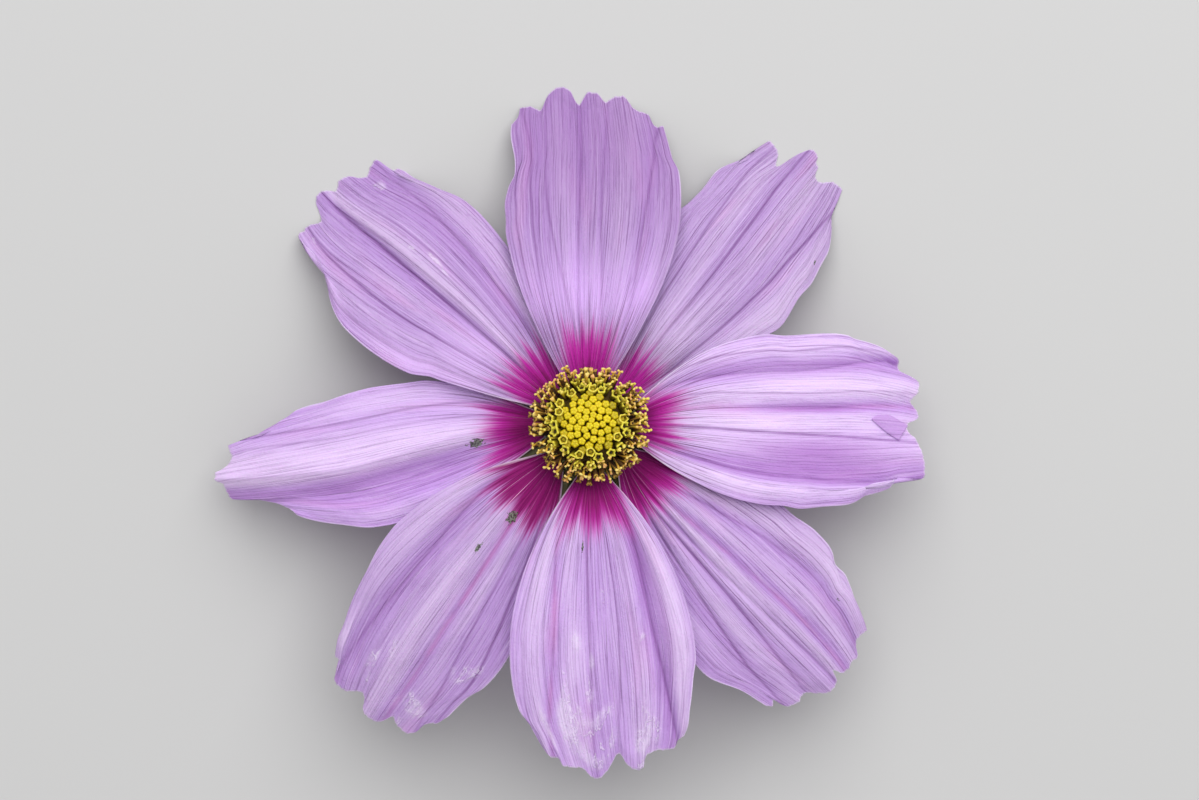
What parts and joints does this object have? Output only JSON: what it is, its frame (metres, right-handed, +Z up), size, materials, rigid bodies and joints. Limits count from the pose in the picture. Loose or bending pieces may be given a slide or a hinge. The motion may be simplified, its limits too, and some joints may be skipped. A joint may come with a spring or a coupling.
{
  "type": "cosmos flower",
  "caption": "Picked cosmos bloom lying face up: broad notched pink petals round a yellow disc of florets, with bracts beneath and a short bent stalk.",
  "frame": {"origin": "middle of the bloom's footprint, on the surface that it lies on", "axes": "+Z up, out of the bloom's face; +Y towards the petal that the head leans to, away from the stalk; +X to the right as the bloom is seen from above with the stalk at the bottom"},
  "size_m": [0.0812, 0.0786, 0.0182],
  "materials": {
    "petals": "soft satin petal, pale lilac pink with a streaked magenta base",
    "receptacle": "matt green plant tissue",
    "inner_bracts": "thin papery bract, brown green with a pale edge",
    "outer_bracts": "matt dark green bract with darker stripes",
    "closed_buds": "waxy yellow buds",
    "open_florets": "golden anthers over dark brown tubes",
    "stalk": "ribbed green stalk with a slight sheen"
  },
  "bodies": {
    "root": {"receptacle": "receptacle", "inner_bracts": "inner_bracts", "outer_bracts": "outer_bracts", "petal_north": "petals", "petal_northeast": "petals", "petal_east": "petals", "petal_southeast": "petals", "petal_south": "petals", "petal_southwest": "petals", "petal_west": "petals", "petal_northwest": "petals", "closed_buds": "closed_buds", "open_florets": "open_florets", "stalk": "stalk"}
  },
  "joints": []
}
